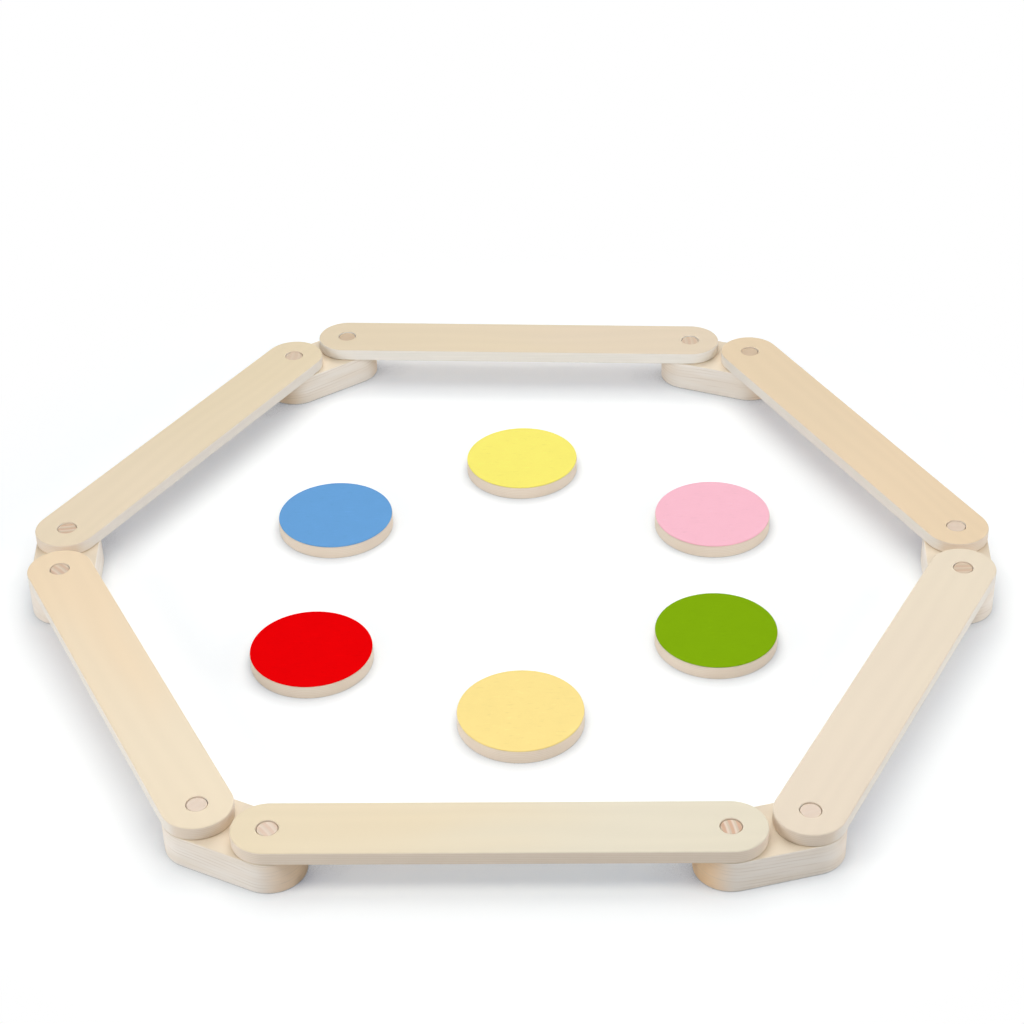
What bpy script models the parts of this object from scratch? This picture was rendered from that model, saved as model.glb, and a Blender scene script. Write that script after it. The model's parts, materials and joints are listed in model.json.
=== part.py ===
# Wooden balance beam set.
# Six boards with round ends form a closed ring. Each end drops over a dowel of a low foot block,
# and each foot carries the ends of two boards, which swing on their dowels and lift off upwards.
# Six round plywood stepping stones with coloured tops stand inside the ring.
# Metres, +X right, +Y back, +Z up. The origin is on the floor at the middle of the ring.

import math

import bmesh
import bpy
from mathutils import Vector

# Boards
BEAM_HOLE_SPACING = 0.540
BEAM_WIDTH = 0.088
BEAM_THICKNESS = 0.018
BEAM_EDGE_RADIUS = 0.0018
BEAM_END_GAP = 0.010

# Foot blocks
FOOT_HEIGHT = 0.045
FOOT_EDGE_RADIUS = 0.0022

# Dowels
DOWEL_DIAMETER = 0.025
DOWEL_EDGE_RADIUS = 0.0008
DOWEL_TOP_RECESS = 0.0012
DOWEL_PLAY = 0.0010
SOCKET_FLOOR = 0.013

# Stepping stones
STONE_DIAMETER = 0.163
STONE_THICKNESS = 0.018
STONE_EDGE_RADIUS = 0.0010
COVER_THICKNESS = 0.0012
COVER_INSET = 0.0006
COVER_EDGE_RADIUS = 0.0004

# Gap between faces that touch on the real thing
CONTACT_GAP = 0.0003

# Headings of the boards, and of the feet after them, round the ring in degrees from +X.
# Together they close the ring to within 0.01 mm.
BEAM_HEADINGS = (0.0, 62.9, 117.7, 177.5, 239.8, 297.7)
FOOT_HEADINGS = (16.0, 87.3, 158.1, 216.6, 274.56, 334.04)

# Boards in order round the ring, each with the foot at its far end
RING_NAMES = (
    ("front_beam", "front_right_foot"),
    ("front_right_beam", "right_foot"),
    ("back_right_beam", "back_right_foot"),
    ("back_beam", "back_left_foot"),
    ("back_left_beam", "left_foot"),
    ("front_left_beam", "front_left_foot"),
)

# Each stone lies on the way from the ring's middle to a board's middle:
# the board, the share of that way, the step aside along the board, and the cover's colour
STONES = {
    "cream_stone": ("front_beam", 0.533, 0.021, (1.000, 0.905, 0.590)),
    "green_stone": ("front_right_beam", 0.543, 0.029, (0.518, 0.682, 0.055)),
    "pink_stone": ("back_right_beam", 0.564, -0.024, (1.000, 0.757, 0.812)),
    "yellow_stone": ("back_beam", 0.507, -0.012, (0.996, 0.949, 0.467)),
    "blue_stone": ("back_left_beam", 0.515, 0.007, (0.412, 0.643, 0.859)),
    "red_stone": ("front_left_beam", 0.549, 0.017, (0.929, 0.010, 0.031)),
}

# Display colours of the woods
BEAM_COLOUR = (0.930, 0.870, 0.760)
FOOT_COLOUR = (0.890, 0.840, 0.760)
DOWEL_COLOUR = (0.890, 0.780, 0.700)
STONE_COLOUR = (0.830, 0.750, 0.670)

# Fineness of the faceted surfaces
BOARD_END_FACETS = 14
DOWEL_FACETS = 20
STONE_FACETS = 40
BOARD_EDGE_SEGMENTS = 2
DISC_EDGE_SEGMENTS = 1
SHARP_ANGLE = math.radians(35)
FLAT_ANGLE = math.radians(1)
MERGE_DISTANCE = 0.00001
CUTTER_EXCESS = 0.002

# Sizes that follow from the ones above
FOOT_WIDTH = BEAM_WIDTH
FOOT_HOLE_SPACING = BEAM_WIDTH + BEAM_END_GAP
SOCKET_DEPTH = FOOT_HEIGHT - SOCKET_FLOOR
BEAM_BOTTOM = FOOT_HEIGHT + CONTACT_GAP
BEAM_TOP = BEAM_BOTTOM + BEAM_THICKNESS
DOWEL_BOTTOM = SOCKET_FLOOR + CONTACT_GAP
DOWEL_LENGTH = BEAM_TOP - DOWEL_TOP_RECESS - DOWEL_BOTTOM
BEAM_HOLE_DIAMETER = DOWEL_DIAMETER + 2 * DOWEL_PLAY
SOCKET_DIAMETER = DOWEL_DIAMETER + 2 * CONTACT_GAP
COVER_BOTTOM = STONE_THICKNESS + CONTACT_GAP
COVER_DIAMETER = STONE_DIAMETER - 2 * COVER_INSET


def clear_scene():
    for existing in list(bpy.data.objects):
        bpy.data.objects.remove(existing, do_unlink=True)


def new_collection(name):
    collection = bpy.data.collections.new(name)
    bpy.context.scene.collection.children.link(collection)
    return collection


def linear_channel(value):
    # Display colour to linear light
    if value <= 0.04045:
        return value / 12.92
    return ((value + 0.055) / 1.055) ** 2.4


def new_material(name, colour, roughness):
    material = bpy.data.materials.new(name)
    material.use_nodes = True
    shader = material.node_tree.nodes["Principled BSDF"]
    shader.inputs["Base Color"].default_value = [linear_channel(c) for c in colour] + [1.0]
    shader.inputs["Roughness"].default_value = roughness
    shader.inputs["Metallic"].default_value = 0.0
    return material


def finish_mesh(shape, name):
    # Turns a bmesh into a mesh that is smooth on its round sides
    bmesh.ops.recalc_face_normals(shape, faces=shape.faces)
    mesh = bpy.data.meshes.new(name)
    shape.to_mesh(mesh)
    shape.free()
    mesh.shade_smooth()
    mesh.set_sharp_from_angle(angle=SHARP_ANGLE)
    return mesh


def round_ended_mesh(name, spacing, width, thickness):
    # A slab whose outline is two half circles joined by straight sides. It starts at the
    # first half circle's centre, runs along +X and stands on z = 0.
    radius = width / 2
    points = []
    for centre_x, first_angle in ((spacing, -90), (0.0, 90)):
        for step in range(BOARD_END_FACETS + 1):
            angle = math.radians(first_angle + 180 * step / BOARD_END_FACETS)
            points.append((centre_x + radius * math.cos(angle), radius * math.sin(angle)))

    curve = bpy.data.curves.new(name + "_outline", "CURVE")
    curve.dimensions = "2D"
    curve.fill_mode = "BOTH"
    curve.extrude = thickness / 2
    spline = curve.splines.new("POLY")
    spline.points.add(len(points) - 1)
    for point, (x, y) in zip(spline.points, points):
        point.co = (x, y, 0.0, 1.0)
    spline.use_cyclic_u = True
    outline = bpy.data.objects.new(name + "_outline", curve)
    bpy.context.scene.collection.objects.link(outline)

    evaluated = outline.evaluated_get(bpy.context.evaluated_depsgraph_get())
    mesh = bpy.data.meshes.new_from_object(evaluated)
    bpy.data.objects.remove(outline, do_unlink=True)
    shape = bmesh.new()
    shape.from_mesh(mesh)
    bpy.data.meshes.remove(mesh)
    bmesh.ops.remove_doubles(shape, verts=shape.verts, dist=MERGE_DISTANCE)
    bmesh.ops.dissolve_limit(shape, angle_limit=FLAT_ANGLE, verts=shape.verts, edges=shape.edges)
    bmesh.ops.translate(shape, verts=shape.verts, vec=(0, 0, thickness / 2))
    return finish_mesh(shape, name)


def disc_mesh(name, diameter, thickness, facets):
    # A round disc or rod standing on z = 0
    shape = bmesh.new()
    bmesh.ops.create_cone(
        shape,
        cap_ends=True,
        segments=facets,
        radius1=diameter / 2,
        radius2=diameter / 2,
        depth=thickness,
    )
    bmesh.ops.translate(shape, verts=shape.verts, vec=(0, 0, thickness / 2))
    return finish_mesh(shape, name)


def new_piece(name, mesh, collection, place, heading=0.0, parent=None):
    # The place is in world coordinates, and the heading is a turn about +Z in degrees
    piece = bpy.data.objects.new(name, mesh)
    collection.objects.link(piece)
    piece.location = place
    piece.rotation_euler.z = math.radians(heading)
    if parent:
        bpy.context.view_layer.update()
        piece.parent = parent
        piece.matrix_parent_inverse = parent.matrix_world.inverted()
    return piece


def round_edges(piece, radius, segments):
    bevel = piece.modifiers.new("rounded edges", "BEVEL")
    bevel.width = radius
    bevel.segments = segments
    bevel.limit_method = "ANGLE"
    bevel.angle_limit = SHARP_ANGLE


def drill(piece, cutter_mesh, collection, place):
    cutter = new_piece(piece.name + "_drill", cutter_mesh, collection, place, parent=piece)
    cutter.hide_render = True
    cutter.display_type = "WIRE"
    hole = piece.modifiers.new("hole", "BOOLEAN")
    hole.operation = "DIFFERENCE"
    hole.solver = "EXACT"
    hole.object = cutter


def ring_corners():
    # The dowel centres in order: each board's start and end, one after the other
    corner = Vector((0.0, 0.0, 0.0))
    corners = []
    for beam_heading, foot_heading in zip(BEAM_HEADINGS, FOOT_HEADINGS):
        for heading, length in ((beam_heading, BEAM_HOLE_SPACING), (foot_heading, FOOT_HOLE_SPACING)):
            corners.append(corner.copy())
            angle = math.radians(heading)
            corner += length * Vector((math.cos(angle), math.sin(angle), 0.0))
    across = [point.x for point in corners]
    deep = [point.y for point in corners]
    middle = Vector((min(across) + max(across), min(deep) + max(deep), 0.0)) / 2
    return [point - middle for point in corners]


def at_height(point, height):
    return Vector((point.x, point.y, height))


def heading_between(start, end):
    return math.degrees(math.atan2(end.y - start.y, end.x - start.x))


def add_beams(corners, parts, cutters):
    mesh = round_ended_mesh("beam", BEAM_HOLE_SPACING, BEAM_WIDTH, BEAM_THICKNESS)
    mesh.materials.append(new_material("birch board", BEAM_COLOUR, 0.55))
    hole = disc_mesh("beam_hole", BEAM_HOLE_DIAMETER, BEAM_THICKNESS + 2 * CUTTER_EXCESS, DOWEL_FACETS)
    for index, (name, _) in enumerate(RING_NAMES):
        start, end = corners[2 * index], corners[2 * index + 1]
        beam = new_piece(name, mesh, parts, at_height(start, BEAM_BOTTOM), heading_between(start, end))
        round_edges(beam, BEAM_EDGE_RADIUS, BOARD_EDGE_SEGMENTS)
        for point in (start, end):
            drill(beam, hole, cutters, at_height(point, BEAM_BOTTOM - CUTTER_EXCESS))


def add_feet(corners, parts, cutters):
    # Each foot lies under the end of one board and the start of the next
    mesh = round_ended_mesh("foot", FOOT_HOLE_SPACING, FOOT_WIDTH, FOOT_HEIGHT)
    mesh.materials.append(new_material("birch block", FOOT_COLOUR, 0.6))
    socket = disc_mesh("socket", SOCKET_DIAMETER, SOCKET_DEPTH + CUTTER_EXCESS, DOWEL_FACETS)
    feet = {}
    for index, (_, name) in enumerate(RING_NAMES):
        start = corners[2 * index + 1]
        end = corners[(2 * index + 2) % len(corners)]
        foot = new_piece(name, mesh, parts, at_height(start, 0.0), heading_between(start, end))
        round_edges(foot, FOOT_EDGE_RADIUS, BOARD_EDGE_SEGMENTS)
        for point in (start, end):
            drill(foot, socket, cutters, at_height(point, SOCKET_FLOOR))
        feet[name] = foot
    return feet


def add_dowels(corners, feet, parts):
    # Each board has a dowel at its start, in the foot before it, and one at its end
    mesh = disc_mesh("dowel", DOWEL_DIAMETER, DOWEL_LENGTH, DOWEL_FACETS)
    mesh.materials.append(new_material("beech dowel", DOWEL_COLOUR, 0.6))
    for index, (beam_name, end_foot) in enumerate(RING_NAMES):
        start_foot = RING_NAMES[index - 1][1]
        for end_name, corner, foot_name in (
            ("start", corners[2 * index], start_foot),
            ("end", corners[2 * index + 1], end_foot),
        ):
            name = f"{beam_name}_{end_name}_dowel"
            foot = feet[foot_name]
            dowel = new_piece(name, mesh, parts, at_height(corner, DOWEL_BOTTOM), parent=foot)
            round_edges(dowel, DOWEL_EDGE_RADIUS, DISC_EDGE_SEGMENTS)


def add_stones(corners, parts):
    wood = disc_mesh("stone", STONE_DIAMETER, STONE_THICKNESS, STONE_FACETS)
    wood.materials.append(new_material("plywood", STONE_COLOUR, 0.6))
    beam_names = [beam_name for beam_name, _ in RING_NAMES]
    for name, (beam_name, share, step_aside, colour) in STONES.items():
        index = beam_names.index(beam_name)
        start, end = corners[2 * index], corners[2 * index + 1]
        along = (end - start).normalized()
        place = share * (start + end) / 2 + step_aside * along
        stone = new_piece(name, wood, parts, place)
        round_edges(stone, STONE_EDGE_RADIUS, DISC_EDGE_SEGMENTS)
        cover = disc_mesh(name + "_cover", COVER_DIAMETER, COVER_THICKNESS, STONE_FACETS)
        cover.materials.append(new_material(name + " cover", colour, 0.7))
        top = new_piece(name + "_cover", cover, parts, at_height(place, COVER_BOTTOM), parent=stone)
        round_edges(top, COVER_EDGE_RADIUS, DISC_EDGE_SEGMENTS)


def main():
    clear_scene()
    parts = new_collection("wooden_balance_beam")
    cutters = new_collection("cutters")
    corners = ring_corners()
    add_beams(corners, parts, cutters)
    feet = add_feet(corners, parts, cutters)
    add_dowels(corners, feet, parts)
    add_stones(corners, parts)


main()
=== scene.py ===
import json
import math

import bmesh
import bpy
import numpy as np
from mathutils import Matrix, Vector


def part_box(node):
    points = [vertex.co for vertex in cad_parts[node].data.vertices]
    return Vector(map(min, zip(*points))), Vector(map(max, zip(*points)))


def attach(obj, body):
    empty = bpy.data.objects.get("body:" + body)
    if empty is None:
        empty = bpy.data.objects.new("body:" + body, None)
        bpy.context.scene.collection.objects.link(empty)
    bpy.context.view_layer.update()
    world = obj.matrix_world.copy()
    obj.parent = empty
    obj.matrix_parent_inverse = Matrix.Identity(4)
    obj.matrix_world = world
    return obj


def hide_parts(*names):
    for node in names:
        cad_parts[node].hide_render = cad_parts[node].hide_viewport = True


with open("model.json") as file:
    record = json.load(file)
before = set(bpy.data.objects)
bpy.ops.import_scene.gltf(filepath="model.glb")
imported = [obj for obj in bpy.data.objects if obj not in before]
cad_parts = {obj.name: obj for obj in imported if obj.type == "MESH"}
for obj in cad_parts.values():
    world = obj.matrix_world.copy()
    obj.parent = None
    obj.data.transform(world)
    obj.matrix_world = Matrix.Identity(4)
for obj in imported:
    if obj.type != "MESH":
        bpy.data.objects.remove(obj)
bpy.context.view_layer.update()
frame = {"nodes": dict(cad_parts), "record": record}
print("frame loaded:", len(frame["nodes"]), "solids")


# Sizes read from the frame, in metres

def boxSize(node):
    low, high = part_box(node)
    return high - low


def boxMiddle(node):
    low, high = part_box(node)
    return (low + high) / 2


# counter-clockwise round the ring, from the front; each foot follows the board before it
beamNames = [
    "front_beam", "front_right_beam", "back_right_beam", "back_beam", "back_left_beam", "front_left_beam",
]
footNames = [
    "front_right_foot", "right_foot", "back_right_foot", "back_left_foot", "left_foot", "front_left_foot",
]
stoneNames = ["cream_stone", "green_stone", "pink_stone", "yellow_stone", "blue_stone", "red_stone"]


def spanAndRadius(node, firstDowel, lastDowel):
    # A slab's distance between its holes, and half its width, which is what its box adds to that distance
    reach = boxMiddle(lastDowel) - boxMiddle(firstDowel)
    return reach.length, (boxSize(node).x - abs(reach.x)) / 2


beamSpan, beamRadius = spanAndRadius("front_beam", "front_beam_start_dowel", "front_beam_end_dowel")
footSpan, footRadius = spanAndRadius(
    "right_foot", "front_right_beam_end_dowel", "back_right_beam_start_dowel"
)
dowelRadius = boxSize("front_beam_start_dowel").x / 2
bodies = frame["record"]["behaviour"]["bodies"]
bodyOfNode = {node: body for body, nodes in bodies.items() for node in nodes}


# Shader building: a wire is a node's output, and sums on wires become Math nodes

class Wire:
    def __init__(self, tree, socket):
        self.tree = tree
        self.socket = socket

    def sum(self, operation, first, second=0.0):
        node = self.tree.nodes.new("ShaderNodeMath")
        node.operation = operation
        for place, value in zip(node.inputs, (first, second)):
            if isinstance(value, Wire):
                self.tree.links.new(value.socket, place)
            else:
                place.default_value = value
        return Wire(self.tree, node.outputs[0])

    def __add__(self, other):
        return self.sum("ADD", self, other)

    def __radd__(self, other):
        return self.sum("ADD", other, self)

    def __sub__(self, other):
        return self.sum("SUBTRACT", self, other)

    def __rsub__(self, other):
        return self.sum("SUBTRACT", other, self)

    def __mul__(self, other):
        return self.sum("MULTIPLY", self, other)

    def __rmul__(self, other):
        return self.sum("MULTIPLY", other, self)

    def __pow__(self, other):
        return self.sum("POWER", self, other)

    def __abs__(self):
        return self.sum("ABSOLUTE", self)

    def above(self, edge):
        return self.sum("GREATER_THAN", self, edge)

    def sine(self):
        return self.sum("SINE", self)

    def atMost(self, most):
        return self.sum("MINIMUM", self, most)

    def fraction(self):
        return self.sum("FRACT", self)


class Finish:
    # A material with one Principled shader, and the nodes that feed it
    def __init__(self, name, constants):
        self.material = bpy.data.materials.new(name)
        self.material.use_nodes = True
        self.tree = self.material.node_tree
        self.shader = self.tree.nodes["Principled BSDF"]
        for socket, value in constants.items():
            self.shader.inputs[socket].default_value = value

    def node(self, kind, settings=None, sockets=None, output=0):
        made = self.tree.nodes.new(kind)
        for key, value in (settings or {}).items():
            setattr(made, key, value)
        for key, value in (sockets or {}).items():
            if isinstance(value, Wire):
                self.tree.links.new(value.socket, made.inputs[key])
            else:
                made.inputs[key].default_value = value
        return Wire(self.tree, made.outputs[output])

    def attribute(self, name, output="Vector"):
        return self.node("ShaderNodeAttribute", {"attribute_name": name}, output=output)

    def split(self, vector):
        outputs = self.node("ShaderNodeSeparateXYZ", sockets={0: vector}).socket.node.outputs
        return [Wire(self.tree, output) for output in outputs]

    def noise(self, vector, scale, detail, roughness=0.5):
        # stretches the place by a scale for each axis, then reads a noise of about -0.5 to 0.5
        place = self.node("ShaderNodeVectorMath", {"operation": "MULTIPLY"}, {0: vector, 1: scale})
        sockets = {"Vector": place, "Scale": 1.0, "Detail": detail, "Roughness": roughness}
        return self.node("ShaderNodeTexNoise", {}, sockets) - 0.5

    def ramp(self, value, low, high):
        # 0 below low, 1 above high, smooth between
        sockets = {"Value": value, "From Min": low, "From Max": high}
        return self.node("ShaderNodeMapRange", {"interpolation_type": "SMOOTHSTEP"}, sockets)

    def blend(self, factor, first, second):
        sockets = {0: factor, 6: first, 7: second}
        return self.node("ShaderNodeMix", {"data_type": "RGBA"}, sockets, output=2)

    def brighter(self, colour, amount):
        # scales a colour by 1 + amount
        base = colour if isinstance(colour, Wire) else colour[:3]
        sockets = {0: base, "Scale": amount + 1.0}
        return self.node("ShaderNodeVectorMath", {"operation": "SCALE"}, sockets)

    def openness(self, reach, samples):
        # 1 where nothing stands within reach of the surface, and less beside and below things
        sockets = {"Distance": reach}
        return self.node("ShaderNodeAmbientOcclusion", {"samples": samples}, sockets, output=1)

    def feed(self, socket, value):
        self.tree.links.new(value.socket, self.shader.inputs[socket])

    def bump(self, height, depth, strength):
        sockets = {"Height": height, "Distance": depth, "Strength": strength}
        self.feed("Normal", self.node("ShaderNodeBump", {}, sockets))


def shown(red, green, blue):
    # A colour as the eye reads it on screen, 0 to 255, as linear light: the screen's curve is a straight
    # line in the darkest tones and a power of 2.4 above them
    values = np.array([red, green, blue]) / 255
    linear = np.where(values <= 0.04045, values / 12.92, ((values + 0.055) / 1.055) ** 2.4)
    return (*linear.tolist(), 1.0)


black, white = (0.0, 0.0, 0.0, 1.0), (1.0, 1.0, 1.0, 1.0)


# Finishes. A noise is given by its scales along, across and through the wood, its detail and, where it
# isn't one half, its roughness. A name that ends in Edges holds the two values between which a ramp rises,
# in Show how strongly something is seen, and in Relief how much it adds to the bump.

plywood = {
    "roughness": 0.5,
    "roughnessChange": 0.12,
    "specular": 0.2,
    "plies": 13,
    "rim": (shown(242, 229, 213), shown(233, 215, 194)),
    # the back board's rim plies, paler and greyer: painted light on its face toward the middle
    "backRimPaintedLight": (shown(247, 243, 235), shown(240, 235, 226)),
    # the paler colour of the side boards' long rims: painted light
    "paintedLightFlank": shown(243, 238, 230),
    "flankEdges": (0.80, 0.99),
    "glue": shown(201, 181, 158),
    "glueEdges": (0.40, 0.5),
    "glueShow": 0.16,
    "glueRelief": 0.5,
    "tone": ((3.1, 11.0, 2.0), 1.5),
    "toneShow": 0.030,
    # the change from one end's veneer to the other's, as shares of the span, and how far the tone bends it
    "veneerEdges": (0.12, 0.88),
    "veneerSway": 0.5,
    # the figure is a sine wave across the board, in radians for a metre, which the wander bends
    "figureTurns": 260.0,
    "figureShow": 0.008,
    "wander": ((1.6, 9.0, 3.0), 2.0),
    "wanderTurns": 22.0,
    "fibres": ((26.0, 1500.0, 900.0), 3.0, 0.6),
    "fibreShow": 0.020,
    "fibreRelief": 0.5,
    "pores": ((170.0, 2600.0, 900.0), 1.0),
    "poreEdges": (0.17, 0.24),
    "poreShow": 0.02,
    "endGrainEdges": (0.25, 0.85),
    "endGrainShow": 0.5,
    "sideGrainShow": 0.1,
    "streaks": ((60.0, 60.0, 1400.0), 3.0),
    "streakShow": 0.06,
    "streakRelief": 0.8,
    "patches": ((14.0, 14.0, 260.0), 2.0),
    "patchShow": 0.05,
    "rimEdges": (0.12, 0.5),
    "bumpDepth": 0.0001,
    "bumpStrength": 0.4,
}

# a board's veneer near its start and near its end, and the discs' wood
veneers = {
    "front_beam": (shown(233, 217, 186), shown(229, 220, 198)),
    "front_right_beam": (shown(233, 218, 197), shown(236, 222, 199)),
    "back_right_beam": (shown(236, 212, 178), shown(231, 209, 176)),
    "back_beam": (shown(228, 211, 186), shown(228, 211, 182)),
    "back_left_beam": (shown(231, 214, 182), shown(235, 218, 190)),
    "front_left_beam": (shown(242, 219, 186), shown(238, 222, 195)),
    "stone": (shown(236, 222, 198), shown(236, 222, 198)),
}


def plywoodFinish(name, thickness, ends, span, rimPlies=plywood["rim"], flankPaintedLight=0.0):
    # Board faces show one rotary veneer, and the rim shows the plies, which turn by a quarter in turn.
    # The long sides of the rim can be painted paler than its round ends, as painted light.
    wood = plywood
    f = Finish(name, {"Roughness": wood["roughness"], "Specular IOR Level": wood["specular"]})
    place = f.attribute("grain")
    along, *_ = f.split(f.attribute("along"))
    _, y, z = f.split(place)
    nx, ny, nz = f.split(f.attribute("facing"))
    wander = f.noise(place, *wood["wander"])
    tone = f.noise(place, *wood["tone"])
    startsAt, endsAt = (share * span for share in wood["veneerEdges"])
    face = f.blend(f.ramp(along + tone * wood["veneerSway"], startsAt, endsAt), *ends)
    figure = (y * wood["figureTurns"] + wander * wood["wanderTurns"]).sine()
    fibres = f.noise(place, *wood["fibres"])
    pores = f.ramp(f.noise(place, *wood["pores"]), *wood["poreEdges"])
    shade = figure * wood["figureShow"] + fibres * wood["fibreShow"] + tone * wood["toneShow"]
    face = f.brighter(face, shade - pores * wood["poreShow"])

    # every second ply shows its end grain at the long sides, and the others at the round ends
    layer = z * (wood["plies"] / thickness)
    oddPly = (layer * 0.5).fraction().above(0.5)
    endGrain = f.ramp(abs(nx) * (1.0 - oddPly) + abs(ny) * oddPly, *wood["endGrainEdges"])
    rim = f.blend(endGrain * wood["endGrainShow"] + wood["sideGrainShow"], *rimPlies)
    # painted light: the long sides of the rim turn paler by the given share
    rim = f.blend(f.ramp(abs(ny), *wood["flankEdges"]) * flankPaintedLight, rim, wood["paintedLightFlank"])
    joint = f.ramp(abs(layer.fraction() - 0.5), *wood["glueEdges"])
    rim = f.blend(joint * wood["glueShow"], rim, wood["glue"])
    streaks = f.noise(place, *wood["streaks"])
    patches = f.noise(place, *wood["patches"])
    rim = f.brighter(rim, streaks * wood["streakShow"] + patches * wood["patchShow"])
    onRim = f.ramp(1.0 - abs(nz), *wood["rimEdges"])
    f.feed("Base Color", f.blend(onRim, face, rim))
    change = wood["roughnessChange"]
    f.feed("Roughness", wood["roughness"] + fibres * change + onRim * change)
    relief = fibres * wood["fibreRelief"] + streaks * onRim * wood["streakRelief"]
    f.bump(relief - joint * onRim * wood["glueRelief"], wood["bumpDepth"], wood["bumpStrength"])
    return f.material


solidBirch = {
    "roughness": 0.55,
    "roughnessChange": 0.1,
    "specular": 0.2,
    "pale": shown(250, 243, 234),
    "warm": shown(244, 234, 221),
    "tone": ((8.0, 20.0, 60.0), 2.0),
    "toneEdges": (-0.2, 0.24),
    # end grain's colour, which also paints the warm shade under the boards
    "endWoodAndShade": shown(243, 209, 169),
    "endEdges": (0.12, 0.90),
    # the level faces' colour, darker and warmer than the sides: partly the wood's own, partly painted
    # shade between the boards
    "top": shown(234, 219, 195),
    "topEdges": (0.6, 0.95),
    "topShow": 0.9,
    # a ring's height, and how far the rings climb along the wood, curve across it and sway
    "ringGap": 0.0050,
    "ringClimb": 0.05,
    "ringCurve": 1.6,
    "ringSway": 0.010,
    "sway": ((7.0, 16.0, 12.0), 2.0),
    "line": shown(214, 199, 181),
    "lineEdges": (0.55, 0.93),
    "lineShow": 0.46,
    "lineRelief": 0.5,
    "breaks": ((13.0, 26.0, 110.0), 2.0),
    "breakEdges": (-0.10, 0.16),
    "fibres": ((40.0, 300.0, 1300.0), 3.0),
    "fibreShow": 0.05,
    "fibreRelief": 0.6,
    "streaks": ((16.0, 90.0, 520.0), 2.0),
    "streakShow": 0.08,
    "bumpDepth": 0.00012,
    "bumpStrength": 0.4,
}


def footFinish():
    # A block sawn from the plank: growth rings lie nearly level, so every side shows long level lines,
    # which wander, fade and come back. The round ends show warm end wood, warmer and darker where an end
    # lies under a board: end grain with painted warm shade.
    wood = solidBirch
    f = Finish("foot birch", {"Roughness": wood["roughness"], "Specular IOR Level": wood["specular"]})
    place = f.attribute("grain")
    x, y, z = f.split(place)
    nx, _, nz = f.split(f.attribute("facing"))
    sway = f.noise(place, *wood["sway"])
    height = z + x * wood["ringClimb"] + y * y * wood["ringCurve"] + sway * wood["ringSway"]
    saw = (height * (1.0 / wood["ringGap"])).fraction()
    lateStart, lateEnd = wood["lineEdges"]
    lateWood = f.ramp(saw, lateStart, lateEnd) * (1.0 - f.ramp(saw, lateEnd, 1.0))
    broken = f.ramp(f.noise(place, *wood["breaks"]), *wood["breakEdges"])
    tone = f.ramp(f.noise(place, *wood["tone"]), *wood["toneEdges"])
    body = f.blend(tone, wood["pale"], wood["warm"])
    along, *_ = f.split(f.attribute("along"))
    # painted warm shade at the round ends, strongest where an end lies under a board
    first, last = f.attribute("firstEnd", "Fac"), f.attribute("lastEnd", "Fac")
    warmShade = first + (last - first) * f.ramp(along, 0.0, footSpan)
    body = f.blend(f.ramp(abs(nx), *wood["endEdges"]) * warmShade, body, wood["endWoodAndShade"])
    body = f.blend(lateWood * broken * wood["lineShow"], body, wood["line"])
    fibres = f.noise(place, *wood["fibres"])
    streaks = f.noise(place, *wood["streaks"])
    body = f.brighter(body, fibres * wood["fibreShow"] + streaks * wood["streakShow"])
    # partly painted shade: the level faces take the darker top colour
    level = f.ramp(abs(nz), *wood["topEdges"])
    f.feed("Base Color", f.blend(level * wood["topShow"], body, wood["top"]))
    f.feed("Roughness", wood["roughness"] + fibres * wood["roughnessChange"])
    relief = fibres * wood["fibreRelief"] - lateWood * broken * wood["lineRelief"]
    f.bump(relief, wood["bumpDepth"], wood["bumpStrength"])
    return f.material


beech = {
    "roughness": 0.62,
    "roughnessChange": 0.1,
    "specular": 0.2,
    "pale": shown(231, 213, 196),
    "band": shown(214, 174, 145),
    "bandEdges": (0.30, 0.80),
    "grey": shown(206, 189, 166),
    "greyEdges": (0.3, 0.9),
    "greyShow": 0.7,
    # how far the grey part of a ring lies from the band, in radians
    "greyLag": 2.1,
    "tan": shown(203, 178, 147),
    "side": shown(240, 224, 203),
    "sideEdges": (0.5, 0.9),
    # a ring's width, and how far the rings curve and sway
    "ringGap": 0.0092,
    "ringCurve": 4.0,
    "ringSway": 0.0016,
    "sway": ((60.0, 60.0, 10.0), 1.0),
    "pores": ((2400.0, 2400.0, 10.0), 1.0),
    "poreEdges": (0.1, 0.2),
    "poreShow": 0.05,
    "rays": ((260.0, 3200.0, 10.0), 1.0),
    "rayShow": 0.05,
    "rayRelief": 0.5,
    "flecks": ((1100.0, 1100.0, 170.0), 1.0),
    "fleckEdges": (0.12, 0.2),
    "fleckShow": 0.1,
    "fibres": ((900.0, 900.0, 14.0), 3.0),
    "fibreShow": 0.12,
    "bumpDepth": 0.0001,
    "bumpStrength": 0.5,
}


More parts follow.
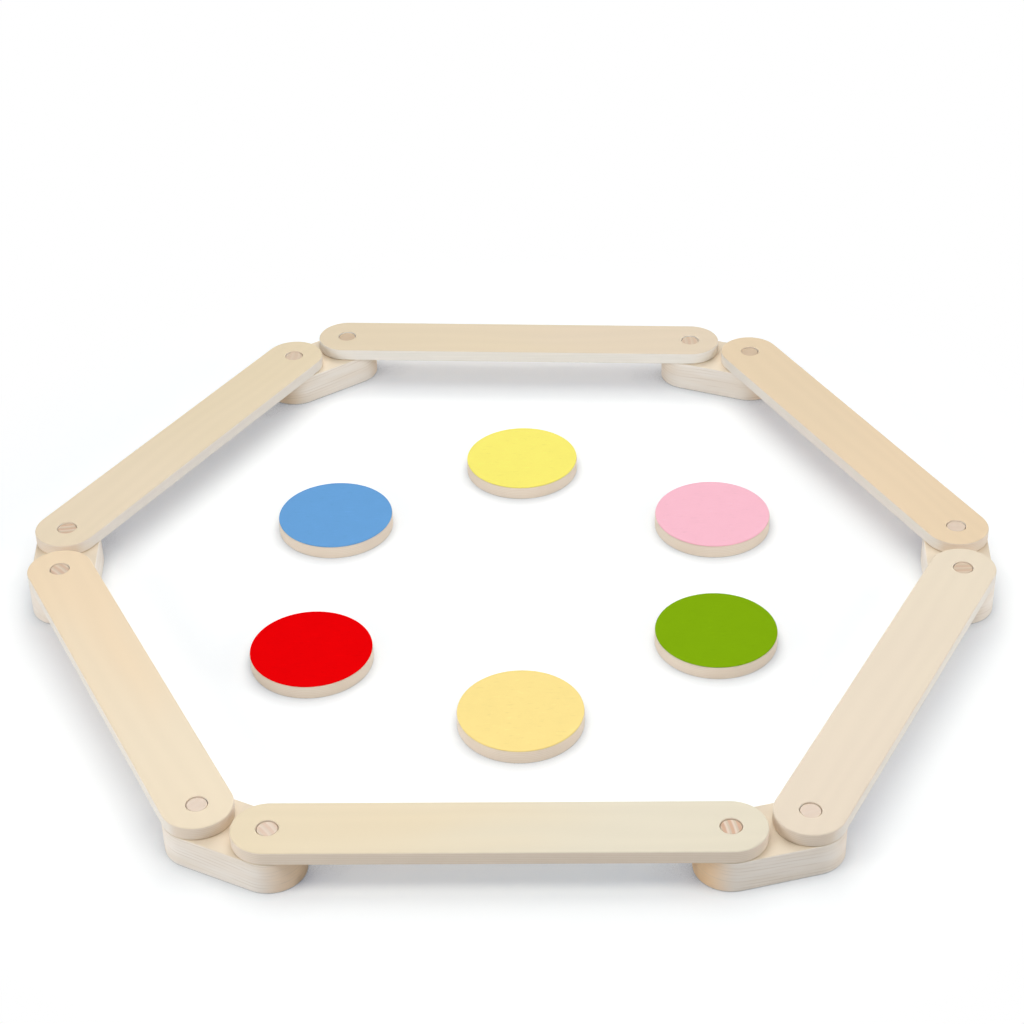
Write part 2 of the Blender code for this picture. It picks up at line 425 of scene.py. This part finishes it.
def dowelFinish():
    # End grain: nearly straight growth rings, pores in the early wood, fine rays across.
    wood = beech
    f = Finish("beech dowel", {"Roughness": wood["roughness"], "Specular IOR Level": wood["specular"]})
    place = f.attribute("grain")
    x, y, _ = f.split(place)
    *_, nz = f.split(f.attribute("facing"))
    show = f.attribute("ringShow", "Fac")
    tan = f.attribute("tan", "Fac")
    sway = f.noise(place, *wood["sway"])
    ring = (x + y * y * wood["ringCurve"] + sway * wood["ringSway"]) * (1.0 / wood["ringGap"])
    turn = ring * (2.0 * math.pi)
    bands = f.ramp(turn.sine() * 0.5 + 0.5, *wood["bandEdges"])
    greys = f.ramp((turn + wood["greyLag"]).sine(), *wood["greyEdges"])
    ends = f.blend(bands * show, wood["pale"], wood["band"])
    ends = f.blend(greys * show * wood["greyShow"], ends, wood["grey"])
    ends = f.blend(tan, ends, wood["tan"])
    pores = f.ramp(f.noise(place, *wood["pores"]), *wood["poreEdges"])
    rays = f.noise(place, *wood["rays"])
    ends = f.brighter(ends, rays * wood["rayShow"] - pores * wood["poreShow"])
    flecks = f.ramp(f.noise(place, *wood["flecks"]), *wood["fleckEdges"])
    fibres = f.noise(place, *wood["fibres"])
    sides = f.brighter(wood["side"], fibres * wood["fibreShow"] - flecks * wood["fleckShow"])
    f.feed("Base Color", f.blend(f.ramp(abs(nz), *wood["sideEdges"]), sides, ends))
    f.feed("Roughness", wood["roughness"] + pores * wood["roughnessChange"])
    f.bump(rays * wood["rayRelief"] - pores, wood["bumpDepth"], wood["bumpStrength"])
    return f.material


felt = {
    "roughness": 0.95,
    "specular": 0.0,
    "mottle": ((38.0, 38.0, 38.0), 3.0),
    "mottleShow": 0.06,
    "lie": ((75.0, 260.0, 260.0), 2.0),
    "lieRelief": 0.5,
    "lightEdges": (0.10, 0.24),
    "darkEdges": (-0.10, -0.26),
    "fleckShow": 0.05,
    "fibres": ((1500.0, 1500.0, 1500.0), 3.0, 0.7),
    "fibreShow": 0.12,
    "bumpDepth": 0.0003,
    "bumpStrength": 0.5,
    "colours": {
        "cream_stone": shown(255, 230, 149),
        "green_stone": shown(132, 174, 16),
        "pink_stone": shown(255, 195, 211),
        "yellow_stone": shown(255, 243, 120),
        "blue_stone": shown(109, 167, 223),
        "red_stone": shown(238, 3, 8),
    },
}


def coverFinish(name, colour):
    # Pressed felt: short fibres in every direction, a faint mottle, and sparse flecks that lie one way
    f = Finish(name, {"Roughness": felt["roughness"], "Specular IOR Level": felt["specular"]})
    place = f.node("ShaderNodeTexCoord", output="Object")
    mottle = f.noise(place, *felt["mottle"])
    lie = f.noise(place, *felt["lie"])
    flecks = f.ramp(lie, *felt["lightEdges"]) - f.ramp(lie, *felt["darkEdges"])
    fibres = f.noise(place, *felt["fibres"])
    shade = mottle * felt["mottleShow"] - flecks * felt["fleckShow"] + fibres * felt["fibreShow"]
    f.feed("Base Color", f.brighter(colour, shade))
    f.bump(fibres + lie * felt["lieRelief"], felt["bumpDepth"], felt["bumpStrength"])
    return f.material


# Surfaces

weldDistance = 0.000002
# where the rows of a slab's level face lie, from its inner walk at 0 to its rounded edge at 1
slabShares = np.array([0.0, 0.02, 0.35, 0.7, 0.985, 1.0])
# where the rows of a disc's top lie, from beside its edge at 1 to its centre at 0
discShares = np.array([1.0, 0.66, 0.33, 0.0])
# where the rows of a socket's floor lie, from its wall at 1 to its centre at 0
socketShares = np.array([1.0, 0.9, 0.0])
# how near a disc's rounded edge its level face has a row, as a share of that edge's radius
holdShare = 0.6


def gridFaces(rows, columns, firstPoint=0):
    # Quads between neighbouring rows of a grid whose columns run round in a closed loop
    row = np.arange(rows - 1)[:, None] * columns
    column = np.arange(columns)[None, :]
    after = (column + 1) % columns
    corners = (row + column, row + after, row + columns + after, row + columns + column)
    return firstPoint + np.stack(corners, axis=-1).reshape(-1, 4)


def circleArc(radius, angles):
    return radius * np.column_stack([np.cos(angles), np.sin(angles)])


def quarterAngles(first, count):
    return math.radians(first) + np.arange(count) / count * math.pi / 2


def slabLoops(span, outerRadius, holeRadius, counts):
    # Two matching closed walks, counter-clockwise, seen from above. The outer one follows a half circle
    # and a straight side, twice. The inner one follows the far half of a hole, its near quarter, the
    # middle line and the near quarter of the other hole, twice. The second half of each is the first
    # one turned half round. Counts gives the points in a quarter circle and along a side.
    end = np.array([span, 0.0])
    arc = np.concatenate([quarterAngles(-90, counts["arc"]), quarterAngles(0, counts["arc"])])
    share = np.arange(counts["arc"]) / counts["arc"]
    middle = np.arange(counts["side"]) / counts["side"]
    sideX = np.concatenate([
        span - share * outerRadius,
        span - outerRadius - middle * (span - 2 * outerRadius),
        outerRadius * (1 - share),
    ])
    outer = np.concatenate([
        end + circleArc(outerRadius, arc),
        np.column_stack([sideX, np.full(len(sideX), outerRadius)]),
    ])
    middleX = span - holeRadius - middle * (span - 2 * holeRadius)
    inner = np.concatenate([
        end + circleArc(holeRadius, arc),
        end + circleArc(holeRadius, quarterAngles(90, counts["arc"])),
        np.column_stack([middleX, np.zeros(len(middleX))]),
        circleArc(holeRadius, quarterAngles(0, counts["arc"])),
    ])
    return np.concatenate([outer, end - outer]), np.concatenate([inner, end - inner])


def roundedEdge(size, radius, height, steps, upwards):
    # The quarter circle that joins a level face to a wall, as pairs of outer radius and height.
    # A lower edge runs outwards and up, and an upper edge up and inwards.
    turn = np.arange(1, steps + 1) / steps * math.pi / 2
    out, up = (np.sin(turn), 1 - np.cos(turn)) if upwards else (np.cos(turn), np.sin(turn))
    return np.column_stack([size - radius + radius * out, height + radius * up])


def slabSurface(span, radius, height, values, openBelow):
    # A slab with round ends and a round hole at each end's centre, as rows of one closed loop each.
    # The rows run over the underside, up the wall and over the top. A tube lines each hole, which goes
    # right through where the slab is open below and has a level floor elsewhere.
    edge, lip, hole = values["edge"], values["lip"], values["holeRadius"]
    rows = []

    def flatRows(level, holeRadius, shares):
        outer, inner = slabLoops(span, radius - edge, holeRadius, values)
        for share in shares:
            flat = inner + (outer - inner) * share
            rows.append(np.column_stack([flat, np.full(len(flat), level)]))

    flatRows(0.0, hole + lip if openBelow else 0.0, slabShares)
    wall = np.concatenate([
        roundedEdge(radius, edge, 0.0, values["edgeSteps"], True),
        [[radius, height / 2]],
        [[radius, height - edge]],
        roundedEdge(radius, edge, height - edge, values["edgeSteps"], False),
    ])
    for size, level in wall:
        outer, _ = slabLoops(span, size, hole, values)
        rows.append(np.column_stack([outer, np.full(len(outer), level)]))
    flatRows(height, hole + lip, slabShares[-2::-1])
    points = [np.stack(rows).reshape(-1, 3)]
    faces = [gridFaces(len(rows), len(rows[0]))]

    turn = np.linspace(0, math.pi / 2, values["edgeSteps"] + 1)
    lipRows = np.column_stack([hole + lip - lip * np.sin(turn), height - lip + lip * np.cos(turn)])
    if openBelow:
        low = lipRows[::-1] * [1, -1] + [0, height]
    else:
        low = np.column_stack([hole * socketShares, np.full(len(socketShares), values["holeFloor"])])
    tube = np.concatenate([lipRows, low])
    around = np.concatenate([quarterAngles(first, values["arc"]) for first in (-90, 0, 90, 180)])
    for centre in (0.0, span):
        first = sum(len(part) for part in points)
        points.append(turnedPoints(tube, around) + [centre, 0.0, 0.0])
        faces.append(gridFaces(len(tube), len(around), first))
    return np.concatenate(points), np.concatenate(faces)


def turnedPoints(profile, around):
    # Each pair of radius and height, turned about +Z to each of the angles around
    radius, height = profile[:, :1], profile[:, 1:]
    places = np.broadcast_arrays(radius * np.cos(around), radius * np.sin(around), height)
    return np.stack(places, axis=-1).reshape(-1, 3)


def turnedSurface(profile, columns):
    # A profile that runs from the bottom's centre out, up and in, turned full round
    around = np.arange(columns) / columns * 2 * math.pi
    return turnedPoints(profile, around), gridFaces(len(profile), columns)


def discProfile(radius, bottom, top, edge, steps, dome=0.0):
    # A disc's half section: level faces, rounded edges, and a top that rises by the dome at its middle
    hold = edge * holdShare
    inner = radius - edge
    upper = np.column_stack([(inner - hold) * discShares, top + dome * (1 - discShares ** 2)])
    return np.concatenate([
        [[0.0, bottom], [inner / 2, bottom], [inner - hold, bottom], [inner, bottom]],
        roundedEdge(radius, edge, bottom, steps, True),
        [[radius, (bottom + top) / 2]],
        [[radius, top - edge]],
        roundedEdge(radius, edge, top - edge, steps, False),
        upper,
    ])


def keep(mesh, name, values):
    # Keeps numbers or vectors, one for each point, for the material to read
    kind, key = ("FLOAT", "value") if values.ndim == 1 else ("FLOAT_VECTOR", "vector")
    mesh.attributes.new(name, kind, "POINT").data.foreach_set(key, values.ravel())


def dress(node, surface, material, place, grainTurn=0.0, grainShift=(0.0, 0.0, 0.0), extras=None):
    # Makes the piece that stands for a solid. Its material reads each point's place and facing in the
    # piece's own directions, x along the wood, and any extra number that is the same all over it.
    points, faces = surface
    mesh = bpy.data.meshes.new(node + "_look")
    mesh.from_pydata(points.tolist(), [], faces.tolist())
    shape = bmesh.new()
    shape.from_mesh(mesh)
    bmesh.ops.remove_doubles(shape, verts=shape.verts, dist=weldDistance)
    shape.to_mesh(mesh)
    shape.free()
    mesh.shade_smooth()
    mesh.update()
    count = len(mesh.vertices)
    local = np.empty(count * 3)
    mesh.vertices.foreach_get("co", local)
    facing = np.empty(count * 3)
    mesh.vertex_normals.foreach_get("vector", facing)
    turn = np.array(Matrix.Rotation(grainTurn, 3, "Z"))
    local = local.reshape(-1, 3)
    keep(mesh, "grain", local @ turn.T + np.array(grainShift))
    keep(mesh, "facing", facing.reshape(-1, 3) @ turn.T)
    keep(mesh, "along", local)
    for name, value in (extras or {}).items():
        keep(mesh, name, np.full(count, value))
    mesh.transform(place)
    mesh.materials.append(material)
    piece = bpy.data.objects.new(node + "_look", mesh)
    bpy.context.scene.collection.objects.link(piece)
    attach(piece, bodyOfNode[node])
    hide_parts(node)


def placeBetween(start, end, level):
    # Turns +X towards the end and moves the origin to the start
    heading = math.atan2(end.y - start.y, end.x - start.x)
    return Matrix.Translation((start.x, start.y, level)) @ Matrix.Rotation(heading, 4, "Z")


# Boards

board = {
    "thickness": boxSize("front_beam").z,
    "edge": 0.0018,
    "edgeSteps": 6,
    "lip": 0.0009,
    "holeRadius": dowelRadius + 0.001,
    "arc": 20,
    "side": 24,
    # how much painted light the side boards' long rims take
    "flankPaintedLight": 0.8,
    # how far each board's grain lies from the one before, along and across
    "grainStep": (1.37, 0.31),
}

boardSurface = slabSurface(beamSpan, beamRadius, board["thickness"], board, True)
for number, name in enumerate(beamNames):
    start, end = boxMiddle(name + "_start_dowel"), boxMiddle(name + "_end_dowel")
    place = placeBetween(start, end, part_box(name)[0].z)
    # the back board's rim takes the paler plies, as painted light
    rimPlies = plywood["backRimPaintedLight" if name == "back_beam" else "rim"]
    # the side boards' long rims take painted light
    flankPaintedLight = board["flankPaintedLight"] if "left" in name or "right" in name else 0.0
    material = plywoodFinish(
        name + "_birch", board["thickness"], veneers[name], beamSpan, rimPlies, flankPaintedLight
    )
    along, across = board["grainStep"]
    dress(name, boardSurface, material, place, grainShift=(along * number, across * number, 0.0))
print("boards made")


# Foot blocks

socketGap = 0.0003
foot = {
    "edge": 0.0022,
    "edgeSteps": 6,
    "lip": 0.0004,
    "holeRadius": dowelRadius + socketGap,
    "holeFloor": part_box("front_beam_start_dowel")[0].z - socketGap,
    "arc": 20,
    "side": 6,
    "grainStep": 0.83,
    # how much painted warm shade, on top of the end wood, each foot's first and last end takes
    "endWarmShade": {
        "front_right_foot": (0.95, 0.2),
        "right_foot": (0.1, 0.3),
        "back_right_foot": (0.6, 0.1),
        "back_left_foot": (0.4, 0.4),
        "left_foot": (0.3, 0.1),
        "front_left_foot": (0.1, 0.6),
    },
}

footMaterial = footFinish()
footSurface = slabSurface(footSpan, footRadius, boxSize("right_foot").z, foot, False)
for number, name in enumerate(footNames):
    start = boxMiddle(beamNames[number] + "_end_dowel")
    end = boxMiddle(beamNames[(number + 1) % len(beamNames)] + "_start_dowel")
    place = placeBetween(start, end, 0.0)
    warmShade = dict(zip(("firstEnd", "lastEnd"), foot["endWarmShade"][name]))
    dress(name, footSurface, footMaterial, place, 0.0, (foot["grainStep"] * number, 0.0, 0.0), warmShade)
print("feet made")


# Dowels

dowel = {
    "edge": 0.0008,
    "edgeSteps": 5,
    "dome": 0.00015,
    "columns": 64,
    "grainStep": (0.0021, 0.0017, 0.1),
    # how the growth rings lie, in degrees, how plainly they show, and how tan the end is
    "rings": {
        "front_beam_start": (-37, 0.34, 0.00),
        "front_beam_end": (-11, 0.90, 0.00),
        "front_right_beam_start": (70, 0.06, 0.00),
        "front_right_beam_end": (90, 0.62, 0.40),
        "back_right_beam_start": (100, 0.08, 0.15),
        "back_right_beam_end": (60, 0.15, 0.75),
        "back_beam_start": (0, 0.50, 0.45),
        "back_beam_end": (75, 0.20, 0.80),
        "back_left_beam_start": (10, 0.20, 0.40),
        "back_left_beam_end": (88, 0.78, 0.25),
        "front_left_beam_start": (-38, 0.62, 0.25),
        "front_left_beam_end": (50, 0.05, 0.00),
    },
}

dowelMaterial = dowelFinish()
dowelLow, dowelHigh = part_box("front_beam_start_dowel")
dowelProfile = discProfile(
    dowelRadius, dowelLow.z, dowelHigh.z - dowel["dome"], dowel["edge"], dowel["edgeSteps"], dowel["dome"]
)
dowelSurface = turnedSurface(dowelProfile, dowel["columns"])
for number, (end, (ringAngle, show, tan)) in enumerate(dowel["rings"].items()):
    middle = boxMiddle(end + "_dowel")
    place = Matrix.Translation((middle.x, middle.y, 0.0))
    shift = [step * number for step in dowel["grainStep"]]
    extras = {"ringShow": show, "tan": tan}
    dress(end + "_dowel", dowelSurface, dowelMaterial, place, math.radians(ringAngle), shift, extras)
print("dowels made")


# Stepping stones and their covers

stone = {
    "edge": 0.0010,
    "coverEdge": 0.0005,
    "edgeSteps": 5,
    "columns": 144,
    "grainStart": 2.1,
    "grainStep": (0.61, 0.47),
    "grainTurn": 37,
}

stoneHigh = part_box("cream_stone")[1].z
coverLow, coverHigh = (corner.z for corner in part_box("cream_stone_cover"))
stoneRadius = boxSize("cream_stone").x / 2
coverRadius = boxSize("cream_stone_cover").x / 2
stoneMaterial = plywoodFinish("stone_birch", stoneHigh, veneers["stone"], 2 * stoneRadius)
stoneSurface = turnedSurface(
    discProfile(stoneRadius, 0.0, stoneHigh, stone["edge"], stone["edgeSteps"]), stone["columns"]
)
coverSurface = turnedSurface(
    discProfile(coverRadius, coverLow, coverHigh, stone["coverEdge"], stone["edgeSteps"]), stone["columns"]
)
for number, name in enumerate(stoneNames):
    middle = boxMiddle(name)
    place = Matrix.Translation((middle.x, middle.y, 0.0))
    along, across = stone["grainStep"]
    shift = (stone["grainStart"] + along * number, across * number, 0.0)
    dress(name, stoneSurface, stoneMaterial, place, math.radians(stone["grainTurn"] * number), shift)
    cover = name + "_cover"
    dress(cover, coverSurface, coverFinish(cover, felt["colours"][name]), place)
print("stones made")


# Stage: white floor, soft boxes above and on every side, white surroundings

light = {
    "skyStrength": 0.05,
    "floorSize": 30.0,
    "floorDrop": 0.0001,
    "floorRoughness": 0.9,
    "floorWhite": (0.900, 0.862, 0.760, 1.0),
    "floorLift": (0.190, 0.246, 0.346, 1.0),
    "floorBounce": (0.90, 0.90, 0.90, 1.0),
    # how far from the middle the floor turns from shaded to plain white
    "openEdges": (0.68, 0.95),
    # reach in metres and strength of the darkening close to a foot or disc, and farther out by a board
    "shades": ((0.022, 0.20), (0.060, 0.18)),
    "shadeSamples": 4,
    # a soft box's place, its width and height in metres, and its power in watts; it faces the middle
    "boxes": {
        "top box": ((0.0, 0.7, 2.6), (2.6, 2.2), 31.1),
        "back box": ((0.0, 1.7, 1.6), (1.8, 0.8), 15.8),
        "left box": ((-2.05, -1.3, 0.9), (1.1, 1.0), 21.0),
        "right box": ((2.15, -0.7, 0.9), (1.1, 1.0), 17.0),
        "front fill": ((0.0, -0.9, 1.3), (1.4, 0.5), 7.1),
    },
}

# the rays that see the stage as white; all others carry its real light
seeingRays = ("Is Camera Ray", "Is Glossy Ray", "Is Transmission Ray")


def addFloor():
    # Seen, the floor is white in the open, grey in the part's shade and darkest right beside a foot or
    # disc. Farther off it stays white.
    points = np.array([[-1, -1, 0], [1, -1, 0], [1, 1, 0], [-1, 1, 0]]) * light["floorSize"]
    mesh = bpy.data.meshes.new("floor")
    mesh.from_pydata(points.tolist(), [], [(0, 1, 2, 3)])
    constants = {"Roughness": light["floorRoughness"], "Specular IOR Level": 0.0, "Emission Strength": 1.0}
    f = Finish("floor", constants)
    seen = sum((f.node("ShaderNodeLightPath", output=name) for name in seeingRays), 0.0).atMost(1.0)
    place = f.node("ShaderNodeTexCoord", output="Object")
    distance = f.node("ShaderNodeVectorMath", {"operation": "LENGTH"}, {0: place}, output=1)
    away = f.ramp(distance, *light["openEdges"])
    samples = light["shadeSamples"]
    near, wide = [f.openness(reach, samples) ** strength for reach, strength in light["shades"]]
    shade = near * wide - 1.0
    shadedWhite = f.brighter(f.blend(away, light["floorWhite"], black), shade)
    shadedLift = f.brighter(f.blend(away, light["floorLift"], white), shade)
    f.feed("Base Color", f.blend(seen, light["floorBounce"], shadedWhite))
    f.feed("Emission Color", f.blend(seen, black, shadedLift))
    mesh.materials.append(f.material)
    floor = bpy.data.objects.new("floor", mesh)
    floor.location.z = -light["floorDrop"]
    bpy.context.scene.collection.objects.link(floor)


def addBoxes():
    for name, (place, size, power) in light["boxes"].items():
        lamp = bpy.data.lights.new(name, "AREA")
        lamp.shape = "RECTANGLE"
        lamp.size, lamp.size_y = size
        lamp.energy = power
        holder = bpy.data.objects.new(name, lamp)
        holder.location = place
        holder.rotation_euler = Vector(place).to_track_quat("Z", "Y").to_euler()
        holder.visible_camera = False
        bpy.context.scene.collection.objects.link(holder)


def addSky():
    # White where it is seen, and dimmer where it lights the object
    world = bpy.data.worlds.new("white surroundings")
    bpy.context.scene.world = world
    world.use_nodes = True
    tree = world.node_tree
    path = tree.nodes.new("ShaderNodeLightPath")
    seen = sum((Wire(tree, path.outputs[name]) for name in seeingRays), 0.0).atMost(1.0)
    strength = seen * (1.0 - light["skyStrength"]) + light["skyStrength"]
    background = tree.nodes["Background"]
    background.inputs["Color"].default_value = white
    tree.links.new(strength.socket, background.inputs["Strength"])


def addCamera():
    # Turns are in degrees: the heading from +Y, and the way it looks down from level
    view = {
        "place": (0.0970, -2.5470, 1.8583),
        "heading": 2.022,
        "downwards": 34.37,
        "roll": -1.636,
        "lens": 80.03,
        "sensor": 36.0,
        "farthest": 100.0,
    }
    camera = bpy.data.cameras.new("camera")
    camera.lens = view["lens"]
    camera.sensor_width = view["sensor"]
    camera.clip_end = view["farthest"]
    holder = bpy.data.objects.new("camera", camera)
    holder.matrix_world = (
        Matrix.Translation(view["place"])
        @ Matrix.Rotation(math.radians(view["heading"]), 4, "Z")
        @ Matrix.Rotation(math.radians(90 - view["downwards"]), 4, "X")
        @ Matrix.Rotation(math.radians(view["roll"]), 4, "Z")
    )
    bpy.context.scene.collection.objects.link(holder)
    bpy.context.scene.camera = holder


addFloor()
addBoxes()
addSky()
addCamera()
bpy.context.scene.view_settings.view_transform = "Standard"
print("stage made")
